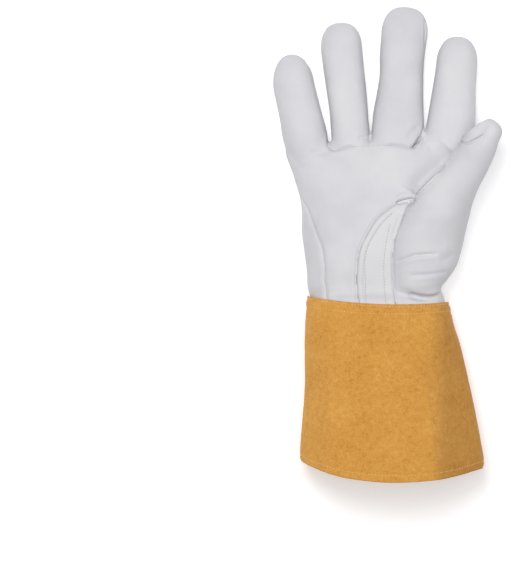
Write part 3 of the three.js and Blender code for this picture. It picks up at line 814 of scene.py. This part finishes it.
for _ in range(2):
    bmesh.ops.smooth_vert(panels, verts=softened, factor=0.4, use_axis_x=True, use_axis_y=True, use_axis_z=True)
for vert in panels.verts:
    vert.co.z = max(vert.co.z, 0)
print("grooves pressed")

wristEnd = -46.6
bmesh.ops.delete(panels, geom=[face for face in panels.faces if face.calc_center_median().y < wristEnd * mm
                               and abs(face.normal.y) > 0.6], context="FACES")
skinTree = BVHTree.FromBMesh(panels)


# Materials
def addNode(tree, kind, links=None, **settings):
    # one node: what isn't a property of it sets a socket, and links name the outputs that feed its sockets
    node = tree.nodes.new("ShaderNode" + kind)
    for name, value in settings.items():
        if hasattr(node, name):
            setattr(node, name, value)
        else:
            node.inputs[name.replace("_", " ")].default_value = value
    for socket, output in (links or {}).items():
        tree.links.new(output, node.inputs[socket])
    return node


def startMaterial(name, **shaderSettings):
    material = bpy.data.materials.new(name)
    material.use_nodes = True
    tree = material.node_tree
    shader = tree.nodes["Principled BSDF"]
    for socket, value in shaderSettings.items():
        shader.inputs[socket.replace("_", " ")].default_value = value
    return material, tree, shader, addNode(tree, "TexCoord").outputs["Object"]


def perMetre(size):
    return 1 / (size * mm)


def noiseOf(tree, where, size, detail, roughness=0.5):
    return addNode(tree, "TexNoise", {"Vector": where}, Scale=perMetre(size), Detail=detail,
                   Roughness=roughness).outputs["Fac"]


def addRelief(tree, shader, height, strength, depth):
    bump = addNode(tree, "Bump", {"Height": height}, Strength=strength, Distance=depth * mm)
    tree.links.new(bump.outputs["Normal"], shader.inputs["Normal"])


def blendColours(tree, factor, codes, stops):
    ramp = addNode(tree, "ValToRGB", {"Fac": factor})
    points = ramp.color_ramp.elements
    while len(points) < len(codes):
        points.new(0.5)
    for point, code, stop in zip(points, codes, stops):
        point.position, point.color = stop, linearColour(code)
    return ramp.outputs["Color"]


# Goatskin grain leather, drum dyed pearl grey and lightly polished: soft sheen, fine pores, faint clouds
grainLeather = {
    "tones": ("#CFCFD3", "#D6D6DA", "#DCDCDF"), "cloud": 34.0, "pore": 0.9, "grit": 0.35,
    "roughness": (0.5, 0.62), "bump": 0.22, "depth": 0.10,
}


def grainLeatherMaterial(name, tones):
    material, tree, shader, where = startMaterial(name, IOR=1.5, Specular_IOR_Level=0.3)
    cloud = noiseOf(tree, where, grainLeather["cloud"], 4.0, 0.55)
    tree.links.new(blendColours(tree, cloud, tones, (0.3, 0.5, 0.7)), shader.inputs["Base Color"])
    rough = addNode(tree, "MapRange", {"Value": cloud}, From_Min=0.3, From_Max=0.7,
                    To_Min=grainLeather["roughness"][0], To_Max=grainLeather["roughness"][1])
    tree.links.new(rough.outputs["Result"], shader.inputs["Roughness"])
    pores = addNode(tree, "TexVoronoi", {"Vector": where}, feature="SMOOTH_F1",
                    Scale=perMetre(grainLeather["pore"])).outputs["Distance"]
    grit = noiseOf(tree, where, grainLeather["grit"], 2.0)
    relief = addNode(tree, "Math", {0: pores, 1: grit}, operation="ADD").outputs["Value"]
    addRelief(tree, shader, relief, grainLeather["bump"], grainLeather["depth"])
    return material


# Flesh side of the same skin, sueded by the splitting knife: matt and short-napped
fleshSide = {"tones": ("#B4B3B3", "#C6C5C5"), "nap": 0.8, "depth": 0.2}


def fleshSideMaterial():
    material, tree, shader, where = startMaterial("fleshSide", Roughness=0.95, IOR=1.45)
    nap = noiseOf(tree, where, fleshSide["nap"], 6.0)
    tree.links.new(blendColours(tree, nap, fleshSide["tones"], (0.35, 0.65)), shader.inputs["Base Color"])
    addRelief(tree, shader, nap, 0.5, fleshSide["depth"])
    return material


# Split cowhide suede, dyed golden brown: brushed nap that lies in clouds, with darker pits and pale fibre ends;
# past a line on the thumb's side the colour is multiplied darker, painted shade where the cuff's side turns
# away from the light
splitSuede = {
    "tones": ("#B07428", "#D0923E", "#DBA04A", "#ECB867"), "stops": (0.3, 0.44, 0.56, 0.72),
    "cloud": 22.0, "mottle": 3.0, "fibre": 1.1, "depth": 0.45, "turned": (25.0, 38.0), "paintedShadeTone": "#E3E0E0",
}


def splitSuedeMaterial():
    material, tree, shader, where = startMaterial("splitSuede", Roughness=0.95, IOR=1.45, Sheen_Weight=0.3,
                                                  Sheen_Roughness=0.6)
    shader.inputs["Sheen Tint"].default_value = linearColour("#F2CE94")
    layers = [noiseOf(tree, where, splitSuede[name], detail, 0.6)
              for name, detail in (("cloud", 3.0), ("mottle", 4.0), ("fibre", 3.0))]
    mixed = layers[0]
    for layer, part in ((layers[1], 0.6), (layers[2], 0.42)):
        mixed = addNode(tree, "MixRGB", {"Color1": mixed, "Color2": layer}, Fac=part).outputs["Color"]
    dyed = blendColours(tree, mixed, splitSuede["tones"], splitSuede["stops"])
    # Painted shade: from x 25 mm, full by x 38 mm, the suede's colour is multiplied by a grey, darkening the
    # cuff's side that faces away from the light
    across = addNode(tree, "SeparateXYZ", {"Vector": where}).outputs["X"]
    start, end = splitSuede["turned"]
    turned = addNode(tree, "MapRange", {"Value": across}, interpolation_type="SMOOTHSTEP",
                     From_Min=start * mm, From_Max=end * mm).outputs["Result"]
    nap = addNode(tree, "MixRGB", {"Fac": turned, "Color1": dyed}, blend_type="MULTIPLY",
                  Color2=linearColour(splitSuede["paintedShadeTone"]))
    tree.links.new(nap.outputs["Color"], shader.inputs["Base Color"])
    relief = addNode(tree, "Math", {0: layers[1], 1: layers[2]}, operation="ADD").outputs["Value"]
    addRelief(tree, shader, relief, 0.55, splitSuede["depth"])
    return material


# Spun polyester sewing thread, two plies twisted: slight gloss, fine slanted ribs
def threadMaterial(name, code):
    material, tree, shader, where = startMaterial(name, Roughness=0.55, IOR=1.5, Sheen_Weight=0.2)
    ply = addNode(tree, "TexWave", {"Vector": where}, bands_direction="DIAGONAL",
                  Scale=perMetre(2.5)).outputs["Fac"]
    # Painted shade: the colour follows the ribs' relief, darker in the grooves between the plies
    pale, plyGrooveShade = code
    tree.links.new(blendColours(tree, ply, (plyGrooveShade, pale), (0.0, 0.6)), shader.inputs["Base Color"])
    addRelief(tree, shader, ply, 0.4, 0.05)
    return material


materials = {
    "goatskin": grainLeatherMaterial("goatskinGrain", grainLeather["tones"]),
    "goatskin_strips": grainLeatherMaterial("goatskinStrips", ("#D3D3D6", "#D9D9DB", "#DEDEDF")),
    "flesh": fleshSideMaterial(),
    "split_suede": splitSuedeMaterial(),
    # each thread's second tone is painted shade for the grooves between its plies
    "whiteThread": threadMaterial("whiteThread", ("#B9B9BB", "#8F8F92")),
    "creamThread": threadMaterial("creamThread", ("#F0CF8E", "#DDB06A")),
}


def finishPiece(mesh, name, slot, replaced, *finishes):
    piece = addObject(name, mesh)
    mesh.materials.clear()
    for finish in finishes:
        mesh.materials.append(materials[finish])
    for polygon in mesh.polygons:
        polygon.use_smooth = True
    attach(piece, "root")
    if replaced:
        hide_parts(replaced)
    return piece


# The leather panels, each a sheet of its own with thickness
panelTable = {
    "columns": ("name", "node", "slot"),
    "palm": ("palmLeather", "palm_panel", "goatskin"),
    "back": ("backLeather", "back_panel", "goatskin"),
    "thumb": ("thumbLeather", "thumb_stall", "goatskin"),
    "wedge": ("thumbWedge", "thumb_gusset", "goatskin_strips"),
    "ringFront": ("ringFront", "ring_finger_front", "goatskin"),
    "middleFront": ("middleFront", "middle_finger_front", "goatskin"),
    "stripIndex": ("stripIndexMiddle", "fourchette_index_middle", "goatskin_strips"),
    "stripRing": ("stripMiddleRing", "fourchette_middle_ring", "goatskin_strips"),
    "stripLittle": ("stripRingLittle", "fourchette_ring_little", "goatskin_strips"),
}
for kind in kinds:
    panel = dict(zip(panelTable["columns"], panelTable[kind]))
    sheet = panels.copy()
    number = kinds.index(kind)
    others = [face for face in sheet.faces if face.material_index != number]
    bmesh.ops.delete(sheet, geom=others, context="FACES")
    for face in sheet.faces:
        face.material_index = 0
    for layers in (sheet.verts.layers.float_vector, sheet.verts.layers.float):
        for layer in list(layers.values()):
            layers.remove(layer)
    sheetMesh = meshOf(panel["name"], sheet)
    piece = finishPiece(sheetMesh, panel["name"], panel["slot"], panel["node"], panel["slot"], "flesh")
    wall = piece.modifiers.new("wall", "SOLIDIFY")
    wall.thickness, wall.offset, wall.material_offset = leather["wall"] * mm, -1, 1
    print(panel["name"], len(sheetMesh.polygons), "faces")


# The cuff: one strip of suede, folded in at the hem, as rings from the raw upper edge round to itself
def cuffRing(row, inset):
    shoulder, waver = cuff["shoulder"], cuff["waver"]
    half = (row["right"] - row["left"]) / 2
    ring = sectionRing((row["left"] + row["right"]) / 2, 0, (cuff["low"] + row["top"]) / 2, half - inset,
                       (row["top"] - cuff["low"]) / 2 - inset, flat=inset, sides=cuff["sides"])
    middle = Vector(((row["left"] + row["right"]) / 2, 0, row["top"] / 2)) * mm
    for place in ring:
        share = (place.x / mm - row["left"]) / (2 * half)
        off = min(1, abs(2 * share - 1)) ** cuff["sagPower"][int(share > 0.5)]
        y = row["yLeft"] + (row["yRight"] - row["yLeft"]) * share - row["sag"] * (1 - off)
        spot = Vector((place.x / mm, y, place.z / mm))
        fade = unit((waver["from"] - row["yLeft"]) / waver["over"])
        y += waver["high"] * noise.noise(spot / waver["size"]) * (waver["even"] + fade)
        place.y = y * mm
        outward = Vector((place.x - middle.x, 0, place.z - middle.z)).normalized()
        swell = sum(high * noise.noise(spot / size) for high, size in cuff["swell"]) - row.get("press", 0)
        place += outward * swell * mm
        if place.z > middle.z:
            (rightFrom, rightWide), (leftFrom, leftWide) = shoulder["right"], shoulder["left"]
            turned = max(0, (share - rightFrom) / rightWide)
            turned += shoulder["leftPart"] * max(0, (leftFrom - share) / leftWide)
            turned *= unit((shoulder["from"] - row["yLeft"]) / shoulder["over"])
            place.z -= shoulder["drop"] * turned * (place.z - middle.z)
        place.z = max(place.z, (inset + max(0, row.get("press", 0))) * mm)
    return ring


cuffRows = throughRows(cuff["columns"], cuff["rows"], cuff["deep"] / cuff["lengths"])
# The cuff's rows of stitches: how far they lie from its edges, how deep and wide they press, and the puff
# between two of them
stitchedAt = {"upper": 2.0, "lower": 7.2, "hem": 4.4, "press": 0.35, "wide": 0.8,
              "puff": 0.35, "puffAt": 4.4, "puffWide": 1.8}
topY, hemY = cuffRows[0]["yLeft"], cuffRows[-1]["yLeft"]
for row in cuffRows:
    fromTop, fromHem = topY - row["yLeft"], row["yLeft"] - hemY
    row["press"] = stitchedAt["press"] * sum(math.exp(-((d - at) / stitchedAt["wide"]) ** 2) for d, at in (
        (fromTop, stitchedAt["upper"]), (fromTop, stitchedAt["lower"]), (fromHem, stitchedAt["hem"])))
    off = (fromTop - stitchedAt["puffAt"]) / stitchedAt["puffWide"]
    row["press"] -= stitchedAt["puff"] * math.exp(-off ** 2)
hemStart = max(2, round(cuff["hemDeep"] / cuff["deep"] * cuff["lengths"]))
run = [(row, 0) for row in cuffRows]
run += [(row, cuff["wall"] + cuff["hemWall"]) for row in cuffRows[:-hemStart:-1]]
run += [(row, cuff["wall"]) for row in cuffRows[-hemStart::-1]]
cuffMesh = meshOf("suedeCuff", bridgeRings([cuffRing(row, inset) for row, inset in run], closedRun=True))
finishPiece(cuffMesh, "suedeCuff", "split_suede", "gauntlet_cuff", "split_suede")
print("cuff", len(cuffMesh.polygons), "faces")

# Stitches: small rounded lengths of thread, lying along their row
stitchSize = {"wide": 0.5, "high": 0.46, "sides": 6, "rings": 5}
sewing = {
    "columns": ("pitch", "length", "sink"),
    "wedge": (1.9, 1.3, 0.02), "elastic": (2.0, 1.4, 0.02), "cuff": (2.0, 1.15, 0.06), "hem": (2.1, 1.15, 0.06),
}


def sewRow(bm, path, pitch, length, sink):
    # path holds (place, outward) pairs; a stitch is set every pitch along it
    travelled, due = 0, pitch / 2
    for (here, outA), (ahead, outB) in zip(path, path[1:]):
        step = (ahead - here).length / mm
        while travelled + step >= due and step > 0:
            share = (due - travelled) / step
            spot = here.lerp(ahead, share)
            outward = outA.lerp(outB, share).normalized()
            along = (ahead - here).normalized()
            beside = outward.cross(along).normalized()
            outward = along.cross(beside)
            frameOf = Matrix((along, beside, outward)).transposed().to_4x4()
            halves = [whole / 2 * mm for whole in (length, stitchSize["wide"], stitchSize["high"])]
            size = Matrix.Diagonal((*halves, 1))
            made = bmesh.ops.create_uvsphere(
                bm, u_segments=stitchSize["sides"], v_segments=stitchSize["rings"], radius=1,
                matrix=Matrix.Translation(spot - outward * sink * mm) @ frameOf @ size)["verts"]
            for vert in made:
                vert.co.z = max(vert.co.z, 0)
            due += pitch
        travelled += step


def onSkin(line, fromAbove=True):
    path = []
    for x, y in line[:, :2]:
        start = Vector((x, y, 90 if fromAbove else -20)) * mm
        hit, normal, _, _ = skinTree.ray_cast(start, Vector((0, 0, -1 if fromAbove else 1)))
        if hit:
            path.append((hit, normal if (normal.z > 0) == fromAbove else -normal))
    return path


def stitchPiece(name, paths, sewn, slot, finish):
    bm = bmesh.new()
    for path in paths:
        sewRow(bm, path, **dict(zip(sewing["columns"], sewing[sewn])))
    mesh = meshOf(name, bm)
    finishPiece(mesh, name, slot, None, finish)
    print(name, len(mesh.polygons), "faces")


wedgeRows = {
    "left": [(392, 213.5), (384, 220.5), (376.5, 230.5), (370, 241), (366.4, 250), (365, 258), (364.4, 266),
             (365.2, 286), (366, 304)],
    "right": [(390, 224), (386.8, 238), (384.6, 252), (383.6, 264), (383.6, 276), (384.4, 288), (385.4, 303)],
}
stitchPiece("wedgeStitches", [onSkin(photoLine(pixels)) for pixels in wedgeRows.values()], "wedge",
            "goatskin_strips", "whiteThread")
elasticLine = np.array([(x, elastic["y"]) for x in np.linspace(elastic["left"] - 2, elastic["right"] + 2, 90)])
stitchPiece("elasticStitches", [onSkin(elasticLine + (0, shift), False) for shift in (-0.9, 0.9)], "elastic",
            "goatskin", "whiteThread")


def roundCuff(fromTop=None, fromHem=None):
    # a row round the cuff, at a distance from one of its edges, as places and outward directions
    step = (topY - hemY) / (len(cuffRows) - 1)
    at = fromTop / step if fromTop is not None else len(cuffRows) - 1 - fromHem / step
    upper, lower = cuffRing(cuffRows[int(at)], 0), cuffRing(cuffRows[int(at) + 1], 0)
    share = at - int(at)
    path, sides = [], cuff["sides"]
    for k in range(sides + 1):
        a, b = upper[k % sides], lower[k % sides]
        around = upper[(k + 1) % sides] - upper[k - 1]
        path.append((a.lerp(b, share), around.cross(a - b).normalized()))
    middle = sum((p for p, _ in path), Vector()) / len(path)
    return [(p, out if out.dot(p - middle) > 0 else -out) for p, out in path]


stitchPiece("cuffStitches", [roundCuff(fromTop=stitchedAt[name]) for name in ("upper", "lower")], "cuff",
            "split_suede", "creamThread")
stitchPiece("hemStitches", [roundCuff(fromHem=stitchedAt["hem"])], "hem", "split_suede", "creamThread")
panels.free()

# Floor and light: a white sweep that glows a little, as on a light table, and soft lamps
floorLook = {"code": "#F0F0F1", "glow": 0.32}
floorBm = bmesh.new()
bmesh.ops.create_grid(floorBm, x_segments=1, y_segments=1, size=3)
floor = addObject("floor", meshOf("floor", floorBm))
floorMaterial, _, floorShader, _ = startMaterial("paleFloor", Roughness=0.9)
floorShader.inputs["Base Color"].default_value = linearColour(floorLook["code"])
floorShader.inputs["Emission Color"].default_value = (1, 1, 1, 1)
floorShader.inputs["Emission Strength"].default_value = floorLook["glow"]
floor.data.materials.append(floorMaterial)

studio = {
    "sky": 0.27,
    "columns": ("name", "place", "size", "power"),
    "lamps": [("key", (-0.25, 0.6, 1.85), 0.7, 17), ("front", (0.05, -0.1, 2.0), 0.8, 12.4)],
}
world = bpy.data.worlds.new("studio")
bpy.context.scene.world = world
world.use_nodes = True
world.node_tree.nodes["Background"].inputs["Color"].default_value = (1, 1, 1, 1)
world.node_tree.nodes["Background"].inputs["Strength"].default_value = studio["sky"]
for lamp in rowsOf(studio, "lamps"):
    data = bpy.data.lights.new(lamp["name"], "AREA")
    data.size, data.energy = lamp["size"], lamp["power"]
    lampObject = addObject(lamp["name"], data)
    lampObject.location = lamp["place"]
    lampObject.rotation_euler = (-Vector(lamp["place"])).to_track_quat("-Z", "Y").to_euler()
bpy.context.scene.view_settings.view_transform = "Standard"
